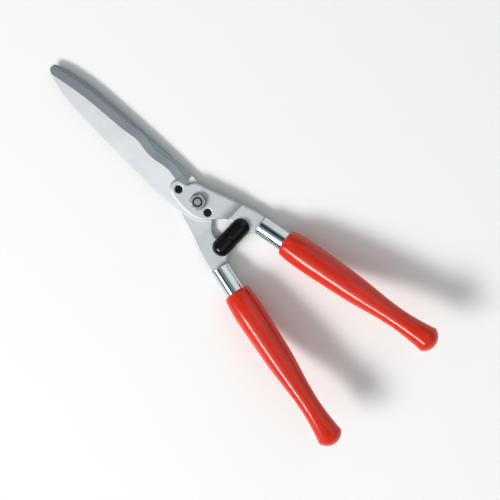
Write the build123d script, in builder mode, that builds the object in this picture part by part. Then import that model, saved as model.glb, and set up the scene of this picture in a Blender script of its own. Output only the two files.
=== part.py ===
"""Hand hedge shears: two wavy steel blades on cranked aluminium arms with turned wooden handles.

Frame, in millimetres: the origin is on the centre line between the handles, level with the pivot
bolt, on the flat underside of the bolt's head. +X runs along the closed blades to their tips, +Y
towards the left handle, and +Z up through the stack: bolt head, lower arm, lower blade, upper
blade, upper arm, washer and nut.
"""
from build123d import *
from math import cos, pi, radians, sin, sqrt, tan
import os

os.makedirs("parts", exist_ok=True)

# Pivot bolt, an M10 with a low round head and a thin nut, a little right of the centre line
pivot_y = -4.8
bolt_diameter = 10.0
bolt_head_diameter = 20.0
bolt_head_height = 2.0
nut_across_flats = 17.0
nut_height = 5.0
washer_diameter = 21.0
washer_thickness = 1.0
bolt_stand_out = 0.6
nut_turn = -6.0
running_clearance = 0.06
seat_clearance = 0.02
moving_gap = 0.05

# Blades
blade_length = 240.0
blade_thickness = 2.5
edge_thickness = 0.6
bevel_width = 10.0
wave_pitch = 52.0
wave_height = 1.6
wave_line = -15.6
wave_first_trough = 28.0
wave_quarters = 8
hollow_radius = 400.0
hollow_depth = 0.45
hollow_start = 26.0
hollow_centre = 2.5

# Screws that hold each blade to its arm
screw_diameter = 6.0
screw_head_diameter = 9.0
screw_head_height = 1.6
screw_socket_across_flats = 4.0
screw_socket_depth = 1.0
counterbore_diameter = 9.8
counterbore_depth = 2.6
front_screw = (27.2, 0.8)
rear_screw = (-17.6, -2.9)

# Arms
arm_thickness = 4.0
arm_rear_thickness = 4.0
arm_rear_height = 10.8
crank_start = -34.5
crank_end = -41.5
arm_edge_radius = 1.4
arm_inner_edge_radius = 0.8
collar_root = 1.5
lower_crank_start = -30.0
lower_crank_end = -72.0

# Rubber buffers, seated in a slot of each arm
buffer_diameter = 23.0
buffer_length = 28.0
buffer_x = -58.7
buffer_height = 11.7
buffer_gap = 0.15
slot_width = 18.0
slot_mouth = 14.5

# Ferrules and handles
ferrule_start = (-75.6, 36.5)
ferrule_height = 12.05
handle_splay = 11.3
handle_rise = 11.5
ferrule_diameter = 24.5
ferrule_wall = 0.8
ferrule_length = 35.0
collar_length = 8.0
tang_diameter = 9.0
tang_length = 85.0
grip_length = 207.5
grip_shoulder_radius = 13.6
butt_radius = 16.1
butt_dome_height = 9.0

pin_distance = 22.0
pin_diameter = 3.0
pin_head_diameter = 5.0
pin_head_height = 0.8

# Heights of the stack
lower_arm_bottom = bolt_head_height
lower_blade_bottom = lower_arm_bottom + arm_thickness
blade_plane = lower_blade_bottom + blade_thickness
upper_arm_bottom = blade_plane + blade_thickness
upper_arm_top = upper_arm_bottom + arm_thickness
washer_bottom = upper_arm_top + moving_gap
nut_bottom = washer_bottom + washer_thickness
bolt_top = nut_bottom + nut_height + bolt_stand_out
arm_rear_top = arm_rear_height + arm_rear_thickness / 2
arm_rear_bottom = arm_rear_height - arm_rear_thickness / 2


def handle_direction(side):
    """Unit vector along a handle, from its ferrule to its butt. side is +1 on the left."""
    level = cos(radians(handle_rise))
    splay = radians(handle_splay)
    return Vector(-level * cos(splay), side * level * sin(splay), sin(radians(handle_rise)))


def ferrule_origin(side):
    return Vector(ferrule_start[0], side * ferrule_start[1], ferrule_height)


def across_handle(side, distance):
    """Plane square to a handle's axis, at a distance from the front of its ferrule."""
    along = handle_direction(side)
    level = Vector(0, 0, 1).cross(along)
    return Plane(origin=ferrule_origin(side) + along * distance, x_dir=level, z_dir=along)


def along_handle(side):
    """Plane through a handle's axis, with its local x along the axis."""
    along = handle_direction(side)
    level = Vector(0, 0, 1).cross(along)
    return Plane(origin=ferrule_origin(side), x_dir=along, z_dir=level)


screw_hole_radius = screw_diameter / 2 + seat_clearance
turned_over = Axis((0, 0, blade_plane), (1, 0, 0))


def pivot_bore(top, depth):
    """The running hole for the pivot bolt, from a height downwards."""
    with Locations((0, pivot_y, top)):
        Hole(bolt_diameter / 2 + running_clearance, depth=depth)


# ---------------------------------------------------------------- blades

wave_points = [
    (
        wave_first_trough + step * wave_pitch / 4,
        wave_line + wave_height * cos(step * pi / 2),
    )
    for step in range(wave_quarters + 1)
]
straight_points = [(148, -13.3), (166, -12.2), (186, -10.6), (205, -8.2), (223, -5.2)]
edge_tip = (blade_length - 1.6, -2.4)
edge_heel = (18, -13.4)
edge_points = [edge_tip, *reversed(straight_points), *reversed(wave_points), edge_heel]
edge_run_out = (blade_length + 12, 2.6)

spine_points = [
    (-4, 18.8),
    (10, 20.4),
    (45, 21.3),
    (90, 20.8),
    (130, 19.6),
    (165, 18.2),
    (195, 16.0),
    (216, 12.4),
    (230, 8.6),
    (blade_length - 3, 5.0),
]

with BuildPart() as blade_blank:
    with BuildSketch(Plane.XY.offset(blade_plane + moving_gap)):
        with BuildLine():
            Spline(*spine_points)
            ThreePointArc(spine_points[-1], (blade_length, 1.0), edge_tip)
            Spline(*edge_points)
            Spline(edge_heel, (6, -16.5), (-8, -16.5), (-20, -11.5), (-26.5, -2.0))
            Spline((-26.5, -2.0), (-25.6, 5.0), (-20, 12.2), (-13, 16.3), spine_points[0])
        make_face()
    extrude(amount=blade_thickness - moving_gap)

    # The bevel follows the wavy edge at a constant width
    with BuildLine(Plane.XY.offset(upper_arm_bottom)) as bevel_path:
        Spline(edge_run_out, *edge_points)
    drop = blade_thickness - edge_thickness
    bevel_slope = bevel_width / drop
    bevel_plane = Plane(
        origin=bevel_path.line @ 0,
        x_dir=(0, 0, 1),
        z_dir=bevel_path.line % 0,
    )
    with BuildSketch(bevel_plane):
        with BuildLine():
            Polyline(
                (-drop - 2 / bevel_slope, -2),
                (1, bevel_width + bevel_slope),
                (1, -2),
                close=True,
            )
        make_face()
    sweep(path=bevel_path.line, mode=Mode.SUBTRACT)

    # The inner face is ground hollow, deepest near the pivot and running out at the tip
    hollow_plane = Plane.YZ.offset(hollow_start)
    hollow_low = blade_plane + moving_gap + hollow_depth - hollow_radius
    with BuildSketch(hollow_plane):
        with Locations((hollow_centre, hollow_low)):
            Circle(hollow_radius)
    hollow_run = blade_length - hollow_start
    extrude(amount=hollow_run, dir=(hollow_run, 0, -hollow_depth), mode=Mode.SUBTRACT)

    with Locations((*front_screw, upper_arm_bottom), (*rear_screw, upper_arm_bottom)):
        Hole(screw_hole_radius, depth=blade_thickness)

with BuildPart() as blade_upper:
    add(blade_blank.part)
    pivot_bore(upper_arm_bottom, blade_thickness)

# The lower blade is the same blank turned over about its length, then bored
with BuildPart() as blade_lower:
    add(blade_blank.part.rotate(turned_over, 180))
    pivot_bore(blade_plane, blade_thickness)


# ---------------------------------------------------------------- arms

lobe_centre = (28.6, 0.4)
lobe_radius = 10.2
notch = (23.6, -10.0)
shoulder = (18.4, -19.2)
ferrule_radius = ferrule_diameter / 2
collar_radius = ferrule_radius - ferrule_wall - seat_clearance
slot_end = buffer_length - buffer_diameter / 2


def arm_plan():
    """Outline of the upper arm from above, without its slot, run on past the ferrule's front."""
    splay = radians(handle_splay)
    along = Vector(-cos(splay), -sin(splay))
    across = Vector(sin(splay), -cos(splay))
    mouth = Vector(ferrule_start[0], -ferrule_start[1])
    mouth_outer = mouth + across * (ferrule_radius - 0.3)
    mouth_inner = mouth - across * (ferrule_radius - 0.3)
    seat_half = slot_width / 2 + 3.4
    with BuildSketch() as plan:
        with BuildLine():
            lobe = CenterArc(lobe_centre, lobe_radius, -50, 125)
            pivot_side = Spline(
                lobe @ 1,
                (9, 14.1),
                (-6, 13.2),
                (-20.8, 6.3),
                (-28, -0.9),
                (-35.2, -9.6),
                (buffer_x + seat_half, -slot_mouth),
                tangents=[lobe % 1, (-1, -0.15)],
            )
            seat = Line(pivot_side @ 1, (buffer_x - seat_half, -slot_mouth))
            Spline(seat @ 1, (-72.0, -20.5), mouth_inner, tangents=[(0, -1), along])
            Polyline(
                mouth_inner,
                mouth_inner + along * 6,
                mouth_outer + along * 6,
                mouth_outer,
            )
            Spline(mouth_outer, (-32, -36.2), shoulder, tangents=[-along, (1, 0.32)])
            Polyline(shoulder, notch, lobe @ 0)
        make_face()
        fillet(plan.vertices().sort_by_distance(shoulder)[0], 4)
        fillet(plan.vertices().sort_by_distance(notch)[0], 2.5)
        fillet(plan.vertices().sort_by_distance(lobe @ 0)[0], 3)
        fillet(plan.vertices().sort_by_distance(seat @ 0)[0], 2.4)
        fillet(plan.vertices().sort_by_distance(seat @ 1)[0], 2.4)
    return plan.sketch


def slot_shape(side, width):
    """The U-shaped slot for a buffer, open towards the other arm."""
    with BuildSketch() as slot:
        with Locations((buffer_x, side * slot_end)):
            Circle(width / 2)
        with Locations((buffer_x, 0)):
            Rectangle(width, 2 * slot_end)
    return slot.sketch


def outline_edges(arm, up):
    """Edges between an arm's walls and its upper (up is 1) or lower (-1) surface."""
    surface = arm.faces().filter_by(lambda face: face.normal_at().Z * up > 0.3)
    walls = arm.faces().filter_by(lambda face: abs(face.normal_at().Z) < 0.05)
    return surface.edges() & walls.edges()


def forged_arm(side, profile, bends, shown):
    """An arm cut from its plan and side profile, with its collar and tang for the handle.

    bends pairs a corner of the profile with its radius. shown is 1 or -1 for the outer face,
    which has the larger edge radius.
    """
    with BuildPart() as arm:
        with BuildSketch(Plane.XY) as plan:
            add(arm_plan())
            if side > 0:
                mirror(about=Plane.XZ, mode=Mode.REPLACE)
        extrude(amount=upper_arm_top)
        with BuildSketch(Plane.XZ) as crank:
            with BuildLine():
                Polyline(*profile, close=True)
            make_face()
            for corner, radius in bends:
                fillet(crank.vertices().sort_by_distance(corner)[0], radius)
        extrude(amount=80, both=True, mode=Mode.INTERSECT)
        fillet(outline_edges(arm, shown), arm_edge_radius)
        fillet(outline_edges(arm, -shown), arm_inner_edge_radius)
        split(bisect_by=across_handle(side, 0), keep=Keep.BOTTOM)
        with BuildSketch(Plane.XY):
            add(slot_shape(side, slot_width))
        extrude(amount=upper_arm_top, mode=Mode.SUBTRACT)
        with BuildSketch(across_handle(side, -collar_root)):
            Circle(collar_radius)
        extrude(amount=collar_root + collar_length)
        with BuildSketch(across_handle(side, 0)):
            Circle(tang_diameter / 2)
        extrude(amount=tang_length)
    return arm.part


upper_profile = [
    (60, upper_arm_top),
    (crank_start, upper_arm_top),
    (crank_end, arm_rear_top),
    (-110, arm_rear_top),
    (-110, arm_rear_bottom),
    (crank_end - 0.5, arm_rear_bottom),
    (crank_start - 1.6, upper_arm_bottom),
    (60, upper_arm_bottom),
]
lower_profile = [
    (60, lower_blade_bottom),
    (lower_crank_start, lower_blade_bottom),
    (lower_crank_end, arm_rear_top),
    (-110, arm_rear_top),
    (-110, arm_rear_bottom),
    (lower_crank_end, arm_rear_bottom),
    (lower_crank_start, lower_arm_bottom),
    (60, lower_arm_bottom),
]
pin_clearance_radius = pin_diameter / 2 + seat_clearance


def pin_plane(side):
    """Plane square to a ferrule pin, on the handle's axis, facing down."""
    along = handle_direction(side)
    level = Vector(0, 0, 1).cross(along)
    down = level.cross(along)
    return Plane(
        origin=ferrule_origin(side) + along * pin_distance,
        x_dir=along,
        z_dir=down if down.Z < 0 else -down,
    )


def screw_hole():
    CounterBoreHole(
        radius=screw_hole_radius,
        counter_bore_radius=counterbore_diameter / 2,
        counter_bore_depth=counterbore_depth,
        depth=arm_thickness,
    )


with BuildPart() as arm_upper:
    upper_bends = list(zip(upper_profile[1:3] + upper_profile[5:7], (44, 0.8, 3, 3)))
    add(forged_arm(-1, upper_profile, upper_bends, 1))
    pivot_bore(upper_arm_top, arm_thickness)
    with Locations((*front_screw, upper_arm_top), (*rear_screw, upper_arm_top)):
        screw_hole()
    with BuildSketch(pin_plane(-1)):
        Circle(pin_clearance_radius)
    extrude(amount=tang_diameter, both=True, mode=Mode.SUBTRACT)

with BuildPart() as arm_lower:
    lower_bends = list(zip(lower_profile[1:3] + lower_profile[5:7], (12, 12, 12, 12)))
    add(forged_arm(1, lower_profile, lower_bends, -1))
    pivot_bore(lower_blade_bottom, arm_thickness)
    with Locations(
        Location((front_screw[0], -front_screw[1], lower_arm_bottom), (180, 0, 0)),
        Location((rear_screw[0], -rear_screw[1], lower_arm_bottom), (180, 0, 0)),
    ):
        screw_hole()
    with BuildSketch(pin_plane(1)):
        Circle(pin_clearance_radius)
    extrude(amount=tang_diameter, both=True, mode=Mode.SUBTRACT)


# ---------------------------------------------------------------- blade screws


def blade_screw(place):
    """Socket screw for the upper arm, its head sunk in the counterbore."""
    head_bottom = upper_arm_top - counterbore_depth
    with BuildPart() as screw:
        with BuildSketch(Plane.XY.offset(blade_plane + 0.5)):
            with Locations(place):
                Circle(screw_diameter / 2)
        extrude(amount=head_bottom - blade_plane - 0.5)
        with BuildSketch(Plane.XY.offset(head_bottom)):
            with Locations(place):
                Circle(screw_head_diameter / 2)
        extrude(amount=screw_head_height)
        chamfer(screw.edges().group_by(Axis.Z)[-1], 0.4)
        with BuildSketch(Plane.XY.offset(head_bottom + screw_head_height)):
            with Locations(place):
                RegularPolygon(screw_socket_across_flats / 2, 6, major_radius=False)
        extrude(amount=-screw_socket_depth, mode=Mode.SUBTRACT)
    return screw.part


with BuildPart() as front_screw_upper:
    add(blade_screw(front_screw))
with BuildPart() as rear_screw_upper:
    add(blade_screw(rear_screw))
with BuildPart() as front_screw_lower:
    add(blade_screw(front_screw).rotate(turned_over, 180))
with BuildPart() as rear_screw_lower:
    add(blade_screw(rear_screw).rotate(turned_over, 180))


# ---------------------------------------------------------------- pivot


with BuildPart() as pivot_bolt:
    with BuildSketch(Plane.XY):
        with Locations((0, pivot_y)):
            Circle(bolt_head_diameter / 2)
    extrude(amount=bolt_head_height)
    chamfer(pivot_bolt.edges().group_by(Axis.Z)[0], 0.5)
    with BuildSketch(Plane.XY.offset(bolt_head_height)):
        with Locations((0, pivot_y)):
            Circle(bolt_diameter / 2)
    extrude(amount=bolt_top - bolt_head_height)
    chamfer(pivot_bolt.edges().group_by(Axis.Z)[-1], 0.8)

with BuildPart() as pivot_washer:
    with BuildSketch(Plane.XY.offset(washer_bottom)):
        with Locations((0, pivot_y)):
            Circle(washer_diameter / 2)
            Circle(bolt_diameter / 2 + 0.25, mode=Mode.SUBTRACT)
    extrude(amount=washer_thickness)
    chamfer(pivot_washer.edges().group_by(Axis.Z)[-1].sort_by(SortBy.LENGTH)[-1], 0.3)

# The nut's corners are turned off at both ends
nut_corner = nut_across_flats / 2 / cos(radians(30)) + 0.1
nut_flat = nut_across_flats / 2 - 0.2
corner_drop = (nut_corner - nut_flat) * tan(radians(30))
nut_top = nut_bottom + nut_height

with BuildPart() as pivot_nut:
    with BuildSketch(Plane.XY.offset(nut_bottom)):
        with Locations((0, pivot_y)):
            RegularPolygon(nut_across_flats / 2, 6, major_radius=False, rotation=nut_turn)
    extrude(amount=nut_height)
    with BuildSketch(Plane.XZ.offset(-pivot_y)):
        with BuildLine():
            Polyline(
                (0, nut_bottom),
                (nut_flat, nut_bottom),
                (nut_corner, nut_bottom + corner_drop),
                (nut_corner, nut_top - corner_drop),
                (nut_flat, nut_top),
                (0, nut_top),
                close=True,
            )
        make_face()
    revolve(axis=Axis((0, pivot_y, 0), (0, 0, 1)), mode=Mode.INTERSECT)
    with Locations((0, pivot_y, nut_top)):
        CounterSinkHole(
            radius=bolt_diameter / 2 + seat_clearance,
            counter_sink_radius=bolt_diameter / 2 + 1.2,
            depth=nut_height,
            counter_sink_angle=90,
        )


# ---------------------------------------------------------------- ferrules and handles


def ferrule(side):
    with BuildPart() as tube:
        with BuildSketch(across_handle(side, 0)):
            Circle(ferrule_radius)
            Circle(ferrule_radius - ferrule_wall, mode=Mode.SUBTRACT)
        extrude(amount=ferrule_length)
        rims = tube.edges().filter_by(GeomType.CIRCLE)
        fillet(rims.filter_by(lambda rim: rim.radius > ferrule_radius - 0.1), 0.35)
        with BuildSketch(pin_plane(side)):
            Circle(pin_clearance_radius)
        extrude(amount=ferrule_diameter, mode=Mode.SUBTRACT)
    return tube.part


def handle(side):
    """A turned grip: spigot, rounded shoulder, full belly, narrow waist and domed butt."""
    axis = Axis(ferrule_origin(side), handle_direction(side))
    spigot_start = collar_length + seat_clearance
    shoulder_at = ferrule_length + seat_clearance
    butt_rim = ferrule_length + grip_length
    dome_foot = butt_radius - 0.7
    dome_radius = (dome_foot**2 + butt_dome_height**2) / (2 * butt_dome_height)
    dome_centre = butt_rim + butt_dome_height - dome_radius
    dome_middle = dome_centre + sqrt(dome_radius**2 - dome_foot**2 / 4)
    with BuildPart() as grip:
        with BuildSketch(along_handle(side)):
            with BuildLine():
                front = Polyline(
                    (spigot_start, 0),
                    (spigot_start, collar_radius),
                    (shoulder_at, collar_radius),
                    (shoulder_at, grip_shoulder_radius),
                )
                body = Spline(
                    (shoulder_at + 4.5, 16.9),
                    (shoulder_at + 28, 18.5),
                    (shoulder_at + 62, 17.9),
                    (shoulder_at + 101, 16.55),
                    (shoulder_at + 131, 13.95),
                    (shoulder_at + 162, 12.25),
                    (shoulder_at + 183, 13.1),
                    (butt_rim - 1.2, butt_radius - 0.1),
                )
                ThreePointArc(front @ 1, (shoulder_at + 1.4, 15.6), body @ 0)
                dome = ThreePointArc(
                    (butt_rim, dome_foot),
                    (dome_middle, dome_foot / 2),
                    (butt_rim + butt_dome_height, 0),
                )
                Line(body @ 1, dome @ 0)
                Line(dome @ 1, front @ 0)
            make_face()
        revolve(axis=axis)
        with BuildSketch(across_handle(side, 0)):
            Circle(tang_diameter / 2 + seat_clearance)
        extrude(amount=tang_length + 0.5, mode=Mode.SUBTRACT)
        with BuildSketch(pin_plane(side)):
            Circle(pin_clearance_radius)
        extrude(amount=ferrule_diameter, mode=Mode.SUBTRACT)
    return grip.part


def ferrule_pin(side):
    """A nail driven up through the ferrule and spigot into the tang."""
    stem_top = pin_plane(side).offset(-tang_diameter / 4)
    with BuildPart() as pin:
        with BuildSketch(stem_top):
            Circle(pin_diameter / 2)
        extrude(amount=tang_diameter / 4 + ferrule_radius)
        with BuildSketch(pin_plane(side).offset(ferrule_radius)):
            Circle(pin_head_diameter / 2)
        extrude(amount=pin_head_height)
    return pin.part


with BuildPart() as ferrule_right:
    add(ferrule(-1))
with BuildPart() as ferrule_left:
    add(ferrule(1))
with BuildPart() as handle_right:
    add(handle(-1))
with BuildPart() as handle_left:
    add(handle(1))
with BuildPart() as ferrule_pin_right:
    add(ferrule_pin(-1))
with BuildPart() as ferrule_pin_left:
    add(ferrule_pin(1))


# ---------------------------------------------------------------- buffers


def seat_band(side):
    """The room that an arm takes up beside its slot, with the buffer's clearance added."""
    mouth = slot_mouth - seat_clearance
    with BuildPart() as band:
        with BuildSketch(Plane.XZ.offset(-side * mouth)):
            with BuildLine():
                Polyline(*(upper_profile if side < 0 else lower_profile), close=True)
            make_face()
            offset(amount=seat_clearance, kind=Kind.INTERSECTION)
        extrude(amount=-side * buffer_length)
        with BuildSketch(Plane.XY):
            add(slot_shape(side, slot_width - 2 * seat_clearance))
        extrude(amount=upper_arm_top, mode=Mode.SUBTRACT)
    return band.part


def buffer(side):
    """A rubber plug with a domed back, grooved to fit round the slot in its arm."""
    radius = buffer_diameter / 2
    band = seat_band(side)
    with BuildPart() as plug:
        with BuildSketch(Plane.XY.offset(buffer_height)):
            with BuildLine():
                Polyline(
                    (buffer_x, side * buffer_gap),
                    (buffer_x + radius - 0.8, side * buffer_gap),
                    (buffer_x + radius, side * (buffer_gap + 0.8)),
                    (buffer_x + radius, side * (buffer_length - radius)),
                )
                RadiusArc(
                    (buffer_x + radius, side * (buffer_length - radius)),
                    (buffer_x, side * buffer_length),
                    -side * radius,
                )
                Line((buffer_x, side * buffer_length), (buffer_x, side * buffer_gap))
            make_face()
        revolve(axis=Axis((buffer_x, 0, buffer_height), (0, 1, 0)))
        add(band, mode=Mode.SUBTRACT)
    return plug.part


with BuildPart() as buffer_right:
    add(buffer(-1))
with BuildPart() as buffer_left:
    add(buffer(1))


# ---------------------------------------------------------------- output

pieces = {
    "blade_upper": blade_upper,
    "blade_lower": blade_lower,
    "arm_upper": arm_upper,
    "arm_lower": arm_lower,
    "front_screw_upper": front_screw_upper,
    "rear_screw_upper": rear_screw_upper,
    "front_screw_lower": front_screw_lower,
    "rear_screw_lower": rear_screw_lower,
    "pivot_bolt": pivot_bolt,
    "pivot_washer": pivot_washer,
    "pivot_nut": pivot_nut,
    "ferrule_right": ferrule_right,
    "ferrule_left": ferrule_left,
    "handle_right": handle_right,
    "handle_left": handle_left,
    "ferrule_pin_right": ferrule_pin_right,
    "ferrule_pin_left": ferrule_pin_left,
    "buffer_right": buffer_right,
    "buffer_left": buffer_left,
}
for name, piece in pieces.items():
    piece.part.label = name
    export_step(piece.part, f"parts/{name}.step")
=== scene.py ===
import math

import bpy
from mathutils import Matrix, Vector


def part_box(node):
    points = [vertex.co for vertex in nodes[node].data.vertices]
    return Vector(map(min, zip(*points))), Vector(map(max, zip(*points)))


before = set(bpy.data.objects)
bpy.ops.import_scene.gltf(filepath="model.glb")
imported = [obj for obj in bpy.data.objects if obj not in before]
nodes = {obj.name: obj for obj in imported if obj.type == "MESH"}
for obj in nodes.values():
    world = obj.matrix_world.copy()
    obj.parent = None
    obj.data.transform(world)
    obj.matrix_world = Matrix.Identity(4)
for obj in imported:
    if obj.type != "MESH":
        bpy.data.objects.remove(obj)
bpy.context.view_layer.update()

# ---------------------------------------------------------------- camera

# CAMERA_ROLL is the heading, seen from above, of the picture's right-hand side.
CAMERA_AT = Vector((-0.0325, -0.2878, 1.5701))
CAMERA_TARGET = Vector((-0.0858, -0.0051, 0.0120))
CAMERA_ROLL = math.radians(224.22)
CAMERA_LENS = 94.23


def add_camera():
    """Looks down, leaning a little from the right handle's side, with the blades at upper left."""
    back = (CAMERA_AT - CAMERA_TARGET).normalized()
    right = Vector((math.cos(CAMERA_ROLL), math.sin(CAMERA_ROLL), 0))
    right = (right - back * right.dot(back)).normalized()
    up = back.cross(right)
    turn = Matrix((right, up, back)).transposed().to_4x4()
    data = bpy.data.cameras.new("camera")
    data.lens = CAMERA_LENS
    data.sensor_width = 36
    data.clip_start = 0.05
    data.clip_end = 60
    camera = bpy.data.objects.new("camera", data)
    camera.matrix_world = Matrix.Translation(CAMERA_AT) @ turn
    bpy.context.collection.objects.link(camera)
    bpy.context.scene.camera = camera


add_camera()

# ---------------------------------------------------------------- node helpers

# The colour mixer's sockets go by number, because its factor and colours share their names with
# the sockets of its other data types.
MIX_FACTOR = 0
MIX_FIRST = 6
MIX_SECOND = 7
MIX_RESULT = 2


class Nodes:
    """Builds the node tree of a material, the world or a light with short calls."""

    def __init__(self, tree):
        self.tree = tree
        tree.nodes.clear()

    def add(self, kind, **settings):
        node = self.tree.nodes.new(kind)
        for name, value in settings.items():
            setattr(node, name, value)
        return node

    def put(self, socket, value):
        """Links a node's output to the socket, or sets it to a plain value. None leaves it be."""
        if isinstance(value, bpy.types.NodeSocket):
            self.tree.links.new(value, socket)
        elif value is not None:
            socket.default_value = value

    def math(self, operation, a, b=None, c=None):
        node = self.add("ShaderNodeMath", operation=operation)
        for socket, value in zip(node.inputs, (a, b, c)):
            self.put(socket, value)
        return node.outputs[0]

    def vector(self, operation, a, b):
        node = self.add("ShaderNodeVectorMath", operation=operation)
        self.put(node.inputs[0], a)
        self.put(node.inputs[1], b)
        return node.outputs["Vector"]

    def mix(self, factor, a, b):
        """Colour a where factor is 0 and b where it is 1."""
        node = self.add("ShaderNodeMix", data_type="RGBA")
        self.put(node.inputs[MIX_FACTOR], factor)
        self.put(node.inputs[MIX_FIRST], (*a, 1) if isinstance(a, tuple) else a)
        self.put(node.inputs[MIX_SECOND], (*b, 1) if isinstance(b, tuple) else b)
        return node.outputs[MIX_RESULT]

    def spread(self, value, low, high, out_low=0.0, out_high=1.0, smooth=True):
        """Maps low..high to out_low..out_high, clamped."""
        kind = "SMOOTHSTEP" if smooth else "LINEAR"
        node = self.add("ShaderNodeMapRange", interpolation_type=kind)
        self.put(node.inputs["Value"], value)
        self.put(node.inputs["From Min"], low)
        self.put(node.inputs["From Max"], high)
        self.put(node.inputs["To Min"], out_low)
        self.put(node.inputs["To Max"], out_high)
        return node.outputs["Result"]

    def between(self, value, low, rise, fall, high):
        """1 between rise and fall, sinking to 0 at low and high."""
        return self.math("MULTIPLY", self.spread(value, low, rise), self.spread(value, high, fall))

    def place(self):
        """Object coordinates, which on every CAD piece are the frame's own, in metres."""
        return self.add("ShaderNodeTexCoord").outputs["Object"]

    def stretched(self, scale, turn=(0, 0, 0)):
        """Object coordinates, turned and then scaled."""
        node = self.add("ShaderNodeMapping")
        node.inputs["Rotation"].default_value = turn
        node.inputs["Scale"].default_value = scale
        self.put(node.inputs["Vector"], self.place())
        return node.outputs[0]

    def noise(self, vector, scale, detail, rough):
        """Cloudy values about 0.5. Unstretched, scale is about how many clouds a metre holds."""
        node = self.add("ShaderNodeTexNoise")
        self.put(node.inputs["Vector"], vector)
        node.inputs["Scale"].default_value = scale
        node.inputs["Detail"].default_value = detail
        node.inputs["Roughness"].default_value = rough
        return node.outputs[0]

    def bump(self, height, distance, strength, under=None):
        """A shading normal for this relief, distance deep, laid over the normal under."""
        node = self.add("ShaderNodeBump")
        node.inputs["Distance"].default_value = distance
        node.inputs["Strength"].default_value = strength
        self.put(node.inputs["Height"], height)
        self.put(node.inputs["Normal"], under)
        return node.outputs[0]

    def softened_edges(self, radius):
        """A shading normal that rounds the piece's edges over this radius."""
        node = self.add("ShaderNodeBevel", samples=6)
        node.inputs["Radius"].default_value = radius
        return node.outputs[0]

    def facing(self):
        """How far a face looks up, from -1 to 1, and how flat it lies, from 0 to 1."""
        normal = self.split(self.add("ShaderNodeNewGeometry").outputs["True Normal"])
        return normal[2], self.math("ABSOLUTE", normal[2])

    def split(self, vector):
        node = self.add("ShaderNodeSeparateXYZ")
        self.put(node.inputs[0], vector)
        return node.outputs


def material(name, **sockets):
    """A new material with a Principled shader, its tree helper and the shader's node.

    Each of sockets is an input of the shader, with underscores for the spaces in its name.
    """
    made = bpy.data.materials.new(name)
    made.use_nodes = True
    tree = Nodes(made.node_tree)
    shader = tree.add("ShaderNodeBsdfPrincipled")
    out = tree.add("ShaderNodeOutputMaterial")
    made.node_tree.links.new(shader.outputs[0], out.inputs[0])
    for key, value in sockets.items():
        shader.inputs[key.replace("_", " ")].default_value = value
    return made, tree, shader


# ---------------------------------------------------------------- dressing the CAD pieces

# Each handle rises from level and turns out from the centre line by these angles.
HANDLE_RISE = math.radians(11.5)
HANDLE_SPLAY = math.radians(11.3)

# The least cosine between a corner's own normal and the radial one that is taken as round.
ROUND_ENOUGH = 0.97


def dress(name, made):
    """Gives a CAD node one material."""
    mesh = nodes[name].data
    mesh.materials.clear()
    mesh.materials.append(made)


def round_shading(name, side):
    """Gives a ferrule exactly round shading, so that its mirror image of the studio is clean.

    The corners of its end faces keep their own normals. side is 1 for the left ferrule and -1
    for the right.
    """
    low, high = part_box(name)
    middle = (Vector(low) + Vector(high)) / 2
    along = Vector(
        (
            -math.cos(HANDLE_RISE) * math.cos(HANDLE_SPLAY),
            side * math.cos(HANDLE_RISE) * math.sin(HANDLE_SPLAY),
            math.sin(HANDLE_RISE),
        )
    )
    mesh = nodes[name].data
    shading = [Vector(corner.vector) for corner in mesh.corner_normals]
    for index, loop in enumerate(mesh.loops):
        arm = mesh.vertices[loop.vertex_index].co - middle
        out = (arm - along * arm.dot(along)).normalized()
        likeness = shading[index].dot(out)
        if abs(likeness) > ROUND_ENOUGH:
            shading[index] = out * math.copysign(1, likeness)
    for face in mesh.polygons:
        face.use_smooth = True
    mesh.normals_split_custom_set(shading)


# ---------------------------------------------------------------- materials

# Places along X on the upper arm for the painted shade on its crank. The painted shade begins
# in front of the arm's crank, is full on it, and stops at the crease, which is the crank's lower
# end.
PAINTED_SHADE_FROM = -0.024
PAINTED_SHADE_FULL = -0.037
PAINTED_SHADE_WANDER = 0.006
CREASE = -0.0418
CREASE_BLUR = 0.0006

# The lower arm is all below the first of these heights there, and the upper arm's top face is
# above the second.
LOWER_ARM_BELOW = 0.0100
UPPER_ARM_ABOVE = 0.0112


def painted_crank_shade(tree, place):
    """Painted shade on the upper arm's crank: grows unevenly from 0 to 1 towards the crank, and is
    0 behind the crease.
    """
    x, _, z = tree.split(place)
    wander = tree.math("MULTIPLY_ADD", tree.noise(place, 90, 2, 0.5), PAINTED_SHADE_WANDER, x)
    down = tree.spread(wander, PAINTED_SHADE_FROM, PAINTED_SHADE_FULL)
    before_crease = tree.spread(x, CREASE - CREASE_BLUR, CREASE + CREASE_BLUR)
    upper_arm = tree.spread(z, LOWER_ARM_BELOW, UPPER_ARM_ABOVE)
    return tree.math("MULTIPLY", tree.math("MULTIPLY", down, before_crease), upper_arm)


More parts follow.
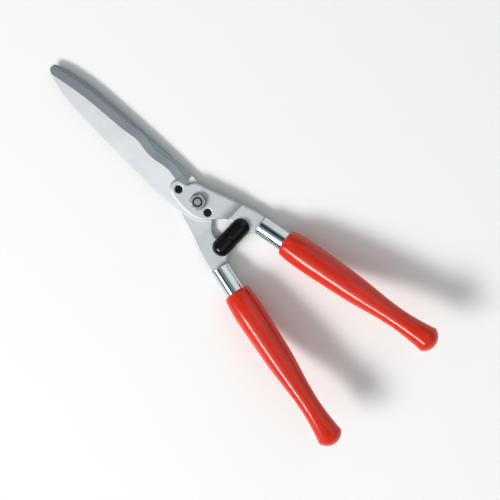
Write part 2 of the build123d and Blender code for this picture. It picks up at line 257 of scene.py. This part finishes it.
def aluminium(name):
    """Blasted forging: fine grain, faint clouds, pits, handling scratches and painted shade on the
    crank.
    """
    made, tree, shader = material(name, Metallic=1.0)
    place = tree.place()
    cloud = tree.noise(place, 38, 3, 0.55)
    grain = tree.noise(place, 3000, 2, 0.7)
    pit = tree.spread(tree.noise(place, 900, 2, 0.6), 0.70, 0.76)
    scratch = tree.noise(tree.stretched((1, 30, 30), (0, 0, 0.5)), 110, 2, 0.5)
    scratch = tree.spread(scratch, 0.70, 0.73)
    shade = painted_crank_shade(tree, place)
    tone = tree.mix(tree.spread(cloud, 0.25, 0.75), (0.49, 0.51, 0.53), (0.535, 0.555, 0.575))
    tone = tree.mix(tree.math("MULTIPLY", pit, 0.5), tone, (0.27, 0.28, 0.30))
    tone = tree.mix(tree.math("MULTIPLY", scratch, 0.18), tone, (0.72, 0.74, 0.76))
    # Painted shade: the crank is darkened in the colour itself.
    tone = tree.mix(tree.math("MULTIPLY", shade, 0.75), tone, (0.27, 0.295, 0.325))
    tree.put(shader.inputs["Base Color"], tone)
    tree.put(shader.inputs["Roughness"], tree.spread(grain, 0.3, 0.7, 0.50, 0.60))
    rounded = tree.softened_edges(0.0024)
    tree.put(shader.inputs["Normal"], tree.bump(grain, 0.00005, 0.4, rounded))
    return made


# Where the hollow grinding begins along X, past the flat round the pivot.
HOLLOW_START = 0.0265
HOLLOW_BLUR = 0.001

# Sloping faces are told from flat ones by how flat they lie: none below the first figure, all
# between the second and third, and none above the fourth.
BEVEL_FLATNESS = (0.90, 0.94, 0.988, 0.995)
# The nut's chamfers told so get a painted highlight.
CHAMFER_FLATNESS = (0.4, 0.6, 0.95, 0.985)


def blade_steel(name, inner_up):
    """Satin outside, a finely cross-ground bevel with a painted darker reflection, and a polished
    hollow inside with a painted dark reflection.

    inner_up is 1 when the inner face looks up and -1 when it looks down.
    """
    made, tree, shader = material(name, Metallic=1.0)
    place = tree.place()
    along = tree.noise(tree.stretched((1, 26, 26)), 150, 3, 0.6)
    across = tree.noise(tree.stretched((26, 1, 26)), 150, 3, 0.6)
    cloud = tree.noise(place, 30, 3, 0.6)
    speck = tree.spread(tree.noise(place, 420, 2, 0.6), 0.69, 0.74)

    facing_up, flatness = tree.facing()
    bevel = tree.between(flatness, *BEVEL_FLATNESS)
    inner = tree.spread(tree.math("MULTIPLY", facing_up, inner_up), 0.5, 0.6)
    x = tree.split(place)[0]
    past_flat = tree.spread(x, HOLLOW_START - HOLLOW_BLUR, HOLLOW_START + HOLLOW_BLUR)
    hollow = tree.math("MULTIPLY", inner, past_flat)
    ground = tree.math("MAXIMUM", hollow, bevel)

    tone = tree.mix(tree.spread(cloud, 0.3, 0.7), (0.67, 0.675, 0.69), (0.735, 0.74, 0.76))
    tone = tree.mix(tree.math("MULTIPLY", speck, 0.35), tone, (0.30, 0.29, 0.28))
    # Painted reflection: the bevel, told by how its faces slope, is painted darker and bluer.
    tone = tree.mix(bevel, tone, (0.55, 0.58, 0.64))
    # Painted reflection: the inner hollow is painted dark.
    tone = tree.mix(hollow, tone, (0.33, 0.355, 0.38))
    streak = tree.spread(across, 0.3, 0.7, 0.86, 1.12)
    unground = tree.math("SUBTRACT", 1, ground)
    shade = tree.add("ShaderNodeVectorMath", operation="SCALE")
    tree.put(shade.inputs[0], tone)
    tree.put(shade.inputs["Scale"], tree.math("MULTIPLY_ADD", ground, streak, unground))
    tree.put(shader.inputs["Base Color"], shade.outputs[0])

    rough = tree.spread(along, 0.3, 0.7, 0.40, 0.50)
    rough = tree.math("MULTIPLY_ADD", ground, -0.12, rough)
    rough = tree.math("MULTIPLY_ADD", hollow, -0.12, rough)
    tree.put(shader.inputs["Roughness"], rough)
    height = tree.math("MULTIPLY", across, ground)
    tree.put(shader.inputs["Normal"], tree.bump(height, 0.00003, 0.6))
    return made


def plated(name, tone, rough):
    """Bright zinc: near-smooth, with faint clouding and tool marks."""
    made, tree, shader = material(name, Metallic=1.0)
    place = tree.place()
    cloud = tree.noise(place, 260, 3, 0.6)
    dark = tuple(c * 0.86 for c in tone)
    tree.put(shader.inputs["Base Color"], tree.mix(tree.spread(cloud, 0.35, 0.65), dark, tone))
    tree.put(shader.inputs["Roughness"], tree.spread(cloud, 0.3, 0.7, rough, rough + 0.08))
    fine = tree.noise(place, 1800, 2, 0.6)
    tree.put(shader.inputs["Normal"], tree.bump(fine, 0.00002, 0.3))
    return made


BOLT_RADIUS = 0.005
pivot_low, pivot_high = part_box("pivot_bolt")
PIVOT = (Vector(pivot_low) + Vector(pivot_high)) / 2


def from_pivot(tree):
    """Where a point lies from the middle of the pivot bolt, and how far that is from its axis."""
    offset = tree.vector("SUBTRACT", tree.place(), tuple(PIVOT))
    x, y, _ = tree.split(offset)
    squares = tree.math("MULTIPLY_ADD", x, x, tree.math("MULTIPLY", y, y))
    return offset, tree.math("SQRT", squares)


def bolt_end(name):
    """Zinc with a dented, peened end and painted shade as a dark line round its rim."""
    made, tree, shader = material(name, Metallic=1.0)
    _, radius = from_pivot(tree)
    painted_rim_shade = tree.spread(radius, BOLT_RADIUS - 0.0012, BOLT_RADIUS - 0.0004)
    dent = tree.spread(tree.noise(tree.place(), 420, 1, 0.4), 0.42, 0.60)
    tone = tree.mix(tree.math("MULTIPLY", dent, 0.7), (0.50, 0.53, 0.55), (0.12, 0.13, 0.14))
    # Painted shade: a dark line round the end's rim.
    tone = tree.mix(painted_rim_shade, tone, (0.05, 0.05, 0.05))
    tree.put(shader.inputs["Base Color"], tone)
    tree.put(shader.inputs["Roughness"], tree.spread(dent, 0, 1, 0.26, 0.42))
    tree.put(shader.inputs["Normal"], tree.bump(dent, -0.00012, 0.5))
    return made


def nut_zinc(name):
    """Bright zinc: dull turned face, a painted highlight on the chamfered corners, and painted
    shade on the flanks and in the thread's mouth.
    """
    made, tree, shader = material(name, Metallic=1.0)
    offset, radius = from_pivot(tree)
    _, flatness = tree.facing()
    corner = tree.between(flatness, *CHAMFER_FLATNESS)
    painted_mouth_shade = tree.spread(radius, BOLT_RADIUS + 0.0013, BOLT_RADIUS + 0.0007)
    side = tree.spread(flatness, 0.5, 0.2)
    turned = tree.add("ShaderNodeTexWave", wave_type="RINGS", rings_direction="Z")
    tree.put(turned.inputs["Vector"], offset)
    turned.inputs["Scale"].default_value = 900
    turned.inputs["Distortion"].default_value = 1.5
    cloud = tree.noise(tree.place(), 500, 2, 0.6)
    tone = tree.mix(tree.spread(cloud, 0.3, 0.7), (0.40, 0.43, 0.44), (0.52, 0.55, 0.56))
    # Painted highlight: the chamfered corners are painted bright.
    tone = tree.mix(corner, tone, (0.86, 0.88, 0.89))
    # Painted shade: the flanks are painted dark.
    tone = tree.mix(side, tone, (0.22, 0.24, 0.26))
    # Painted shade: the mouth round the bolt is painted near-black.
    tone = tree.mix(tree.math("MULTIPLY", painted_mouth_shade, 0.92), tone, (0.03, 0.03, 0.03))
    tree.put(shader.inputs["Base Color"], tone)
    tree.put(shader.inputs["Roughness"], tree.spread(cloud, 0.3, 0.7, 0.22, 0.32))
    tree.put(shader.inputs["Normal"], tree.bump(turned.outputs["Fac"], 0.00002, 0.4))
    return made


def chrome(name):
    """Polished plate with faint polishing haze."""
    made, tree, shader = material(name, Metallic=1.0)
    cloud = tree.noise(tree.place(), 120, 2, 0.5)
    tone = tree.mix(tree.spread(cloud, 0.35, 0.65), (0.64, 0.68, 0.69), (0.70, 0.74, 0.75))
    tree.put(shader.inputs["Base Color"], tone)
    tree.put(shader.inputs["Roughness"], tree.spread(cloud, 0.3, 0.7, 0.08, 0.10))
    return made


def black_oxide(name):
    """Near-black, slightly brown oxide with patchy shine."""
    made, tree, shader = material(name, IOR=1.4, Specular_IOR_Level=0.25)
    cloud = tree.noise(tree.place(), 900, 3, 0.6)
    tone = tree.mix(tree.spread(cloud, 0.35, 0.7), (0.003, 0.002, 0.002), (0.014, 0.009, 0.008))
    tree.put(shader.inputs["Base Color"], tone)
    tree.put(shader.inputs["Roughness"], tree.spread(cloud, 0.3, 0.7, 0.30, 0.45))
    return made


def rubber(name):
    """Smooth moulded rubber with a faint bloom."""
    made, tree, shader = material(name, IOR=1.5, Specular_IOR_Level=0.25)
    place = tree.place()
    cloud = tree.noise(place, 300, 3, 0.6)
    black, bloom = (0.0008, 0.0008, 0.0009), (0.0022, 0.0022, 0.0025)
    tree.put(shader.inputs["Base Color"], tree.mix(tree.spread(cloud, 0.3, 0.7), black, bloom))
    tree.put(shader.inputs["Roughness"], tree.spread(cloud, 0.3, 0.7, 0.10, 0.15))
    fine = tree.noise(place, 1500, 2, 0.6)
    rounded = tree.softened_edges(0.0013)
    tree.put(shader.inputs["Normal"], tree.bump(fine, 0.00002, 0.3, rounded))
    return made


def red_lacquer(name, turn):
    """Gloss red over wood: faint grain, clouds, a few dust motes, and a slightly uneven top coat.

    turn is the handle's heading, so that the grain runs along it.
    """
    made, tree, shader = material(
        name,
        Roughness=0.35,
        Diffuse_Roughness=1.0,
        Specular_IOR_Level=0.1,
        Subsurface_Weight=0.3,
        Subsurface_Radius=(1.0, 0.15, 0.1),
        Subsurface_Scale=0.005,
        Coat_Weight=0.6,
        Coat_Roughness=0.03,
        Coat_IOR=1.5,
    )
    place = tree.place()
    grain = tree.noise(tree.stretched((1, 16, 16), (0, 0, turn)), 55, 4, 0.6)
    cloud = tree.noise(place, 18, 2, 0.5)
    mote = tree.spread(tree.noise(place, 260, 2, 0.6), 0.71, 0.74)
    flow = tree.noise(place, 60, 2, 0.5)
    tone = tree.mix(tree.spread(grain, 0.35, 0.65), (0.64, 0.024, 0.009), (0.71, 0.033, 0.011))
    tone = tree.mix(tree.spread(cloud, 0.35, 0.7, 0.0, 0.35), tone, (0.75, 0.046, 0.014))
    tone = tree.mix(tree.math("MULTIPLY", mote, 0.4), tone, (0.40, 0.012, 0.008))
    tree.put(shader.inputs["Base Color"], tone)
    tree.put(shader.inputs["Normal"], tree.bump(grain, 0.00004, 0.2))
    tree.put(shader.inputs["Coat Normal"], tree.bump(flow, 0.00004, 0.12))
    return made


def dress_all():
    """Gives every CAD piece its material, and the ferrules their round shading."""
    alloy = aluminium("arm_aluminium")
    zinc = plated("zinc_steel", (0.62, 0.65, 0.66), 0.20)
    shine = chrome("ferrule_chrome")
    oxide = black_oxide("black_screw")
    soft = rubber("buffer_rubber")
    for half in ("upper", "lower"):
        dress(f"arm_{half}", alloy)
        dress(f"front_screw_{half}", oxide)
        dress(f"rear_screw_{half}", oxide)
    for side in ("right", "left"):
        dress(f"ferrule_{side}", shine)
        dress(f"ferrule_pin_{side}", zinc)
        dress(f"buffer_{side}", soft)
    dress("blade_upper", blade_steel("blade_steel_upper", -1))
    dress("blade_lower", blade_steel("blade_steel_lower", 1))
    dress("pivot_washer", plated("zinc_steel_dull", (0.46, 0.49, 0.51), 0.34))
    dress("pivot_nut", nut_zinc("zinc_steel_nut"))
    dress("pivot_bolt", bolt_end("zinc_steel_peened"))
    dress("handle_right", red_lacquer("red_lacquer_right", -HANDLE_SPLAY))
    dress("handle_left", red_lacquer("red_lacquer_left", HANDLE_SPLAY))
    round_shading("ferrule_right", -1)
    round_shading("ferrule_left", 1)


dress_all()

# ---------------------------------------------------------------- floor and light

FLOOR_REACH = 40.0


def add_floor():
    """White paper, so wide that no horizon shows from a low view."""
    mesh = bpy.data.meshes.new("floor")
    far = FLOOR_REACH
    corners = [(-far, -far, 0), (far, -far, 0), (far, far, 0), (-far, far, 0)]
    mesh.from_pydata(corners, [], [(0, 1, 2, 3)])
    floor = bpy.data.objects.new("floor", mesh)
    bpy.context.collection.objects.link(floor)
    made, tree, shader = material("floor_paper", Roughness=0.9)
    fibre = tree.noise(tree.place(), 900, 2, 0.6)
    tone = tree.mix(tree.spread(fibre, 0.3, 0.7), (0.84, 0.84, 0.84), (0.86, 0.86, 0.86))
    tree.put(shader.inputs["Base Color"], tone)
    mesh.materials.append(made)


add_floor()

# The key light is a long soft box aimed at MIDDLE. KEY_END_FADE is the share of its length over
# which it fades at each end, and KEY_CORE is the power that narrows it to a bright core.
MIDDLE = Vector((-0.04, 0, 0.03))
KEY_TOWARDS = Vector((0.08, 0.745, 0.66)).normalized()
KEY_DISTANCE = 6.0
KEY_LENGTH = 4.9
KEY_WIDTH = 4.0
KEY_POWER = 1750
KEY_COLOUR = (1, 0.985, 0.96)
KEY_END_FADE = 0.35
KEY_CORE = 3


def add_key_light():
    data = bpy.data.lights.new("key", "AREA")
    data.shape = "RECTANGLE"
    data.size = KEY_LENGTH
    data.size_y = KEY_WIDTH
    data.energy = KEY_POWER
    data.color = KEY_COLOUR
    data.use_nodes = True
    lamp = Nodes(data.node_tree)
    glow = lamp.add("ShaderNodeEmission")
    out = lamp.add("ShaderNodeOutputLight")
    data.node_tree.links.new(glow.outputs[0], out.inputs[0])
    face = lamp.split(lamp.add("ShaderNodeNewGeometry").outputs["Parametric"])
    lengthwise = lamp.between(face[0], 0, KEY_END_FADE, 1 - KEY_END_FADE, 1)
    widthwise = lamp.math("POWER", lamp.between(face[1], 0, 0.5, 0.5, 1), KEY_CORE)
    lamp.put(glow.inputs["Strength"], lamp.math("MULTIPLY", lengthwise, widthwise))
    light = bpy.data.objects.new("key", data)
    light.location = MIDDLE + KEY_TOWARDS * KEY_DISTANCE
    light.rotation_euler = KEY_TOWARDS.to_track_quat("Z", "Y").to_euler()
    bpy.context.collection.objects.link(light)


add_key_light()

# The sky is set out by direction, as the x, y and z of a unit vector. It goes from the sides'
# colour to the panel's as z rises through PANEL_FADE.
SIDES = (0.22, 0.235, 0.23)
PANEL = (0.86, 0.89, 0.87)
PANEL_FADE = (0.62, 0.88)

# The parts of the sky that the two ferrules mirror to the camera meet where x is PARTING_X plus
# PARTING_X_PER_Z times z. The left ferrule's part is on the +X side of that line where y is more
# than PARTING_Y, and on the -X side where it is less. The strips fade in and out at these
# distances to the side of the line.
PARTING_X = 0.15
PARTING_X_PER_Z = 0.19
PARTING_Y = 0.145
PARTING_BLUR = 0.001
STRIPS_REACH = (-0.50, -0.44, 0.23, 0.27)

# Each strip's lean, in degrees from overhead and positive towards +Y, with its colour.
RIGHT_STRIPS = [
    (-180, (0.70, 0.74, 0.74)),
    (-66, (0.92, 0.96, 0.95)),
    (-52, (0.72, 0.76, 0.76)),
    (-42, (0.36, 0.40, 0.41)),
    (-32, (0.11, 0.13, 0.14)),
    (-20, (0.02, 0.03, 0.035)),
    (-6, (0.03, 0.04, 0.045)),
    (4, (0.15, 0.18, 0.20)),
    (14, (0.58, 0.66, 0.70)),
    (24, (1.08, 1.16, 1.20)),
    (56, (1.08, 1.16, 1.20)),
    (64, (0.40, 0.48, 0.52)),
    (70, (0.03, 0.04, 0.05)),
    (86, (0.03, 0.04, 0.05)),
    (96, (0.30, 0.34, 0.36)),
]
LEFT_STRIPS = [
    (-180, (0.70, 0.74, 0.74)),
    (-44, (0.98, 1.00, 0.99)),
    (-30, (0.82, 0.85, 0.84)),
    (-20, (0.40, 0.43, 0.43)),
    (-8, (0.25, 0.28, 0.28)),
    (4, (0.26, 0.30, 0.30)),
    (14, (0.14, 0.17, 0.19)),
    (22, (0.03, 0.045, 0.055)),
    (40, (0.05, 0.07, 0.08)),
    (50, (0.26, 0.36, 0.42)),
    (58, (0.72, 0.90, 1.02)),
    (70, (0.72, 0.90, 1.02)),
    (78, (0.10, 0.14, 0.17)),
    (90, (0.01, 0.02, 0.03)),
]


def strips(sky, lean, stops):
    """The strips' colour at this lean, blending from each stop to the next."""
    ramp = sky.add("ShaderNodeValToRGB")
    sky.put(ramp.inputs[0], sky.spread(lean, -math.pi, math.pi, smooth=False))
    elements = ramp.color_ramp.elements
    while len(elements) > 1:
        elements.remove(elements[-1])
    for index, (degrees, colour) in enumerate(stops):
        at = (degrees + 180) / 360
        element = elements.new(at) if index else elements[0]
        element.position = at
        element.color = (*colour, 1)
    return ramp.outputs[0]


def add_world():
    """A pale overhead panel with darker sides, and strips where the ferrules mirror the sky."""
    world = bpy.data.worlds.new("studio")
    bpy.context.scene.world = world
    world.use_nodes = True
    sky = Nodes(world.node_tree)
    background = sky.add("ShaderNodeBackground")
    out = sky.add("ShaderNodeOutputWorld")
    world.node_tree.links.new(background.outputs[0], out.inputs[0])
    background.inputs["Strength"].default_value = 1.0
    x, y, z = sky.split(sky.add("ShaderNodeTexCoord").outputs["Generated"])
    panel = sky.mix(sky.spread(z, *PANEL_FADE), SIDES, PANEL)
    lean = sky.math("ARCTAN2", y, z)
    aside = sky.math("SUBTRACT", x, sky.math("MULTIPLY_ADD", z, PARTING_X_PER_Z, PARTING_X))
    beyond = sky.math("SUBTRACT", y, PARTING_Y)
    sign = sky.math("MULTIPLY", aside, beyond)
    is_left = sky.spread(sign, -PARTING_BLUR, PARTING_BLUR)
    both = sky.mix(is_left, strips(sky, lean, RIGHT_STRIPS), strips(sky, lean, LEFT_STRIPS))
    band = sky.between(aside, *STRIPS_REACH)
    sky.put(background.inputs["Color"], sky.mix(band, panel, both))


add_world()

bpy.context.scene.view_settings.view_transform = "Standard"
bpy.context.scene.view_settings.exposure = 0.0
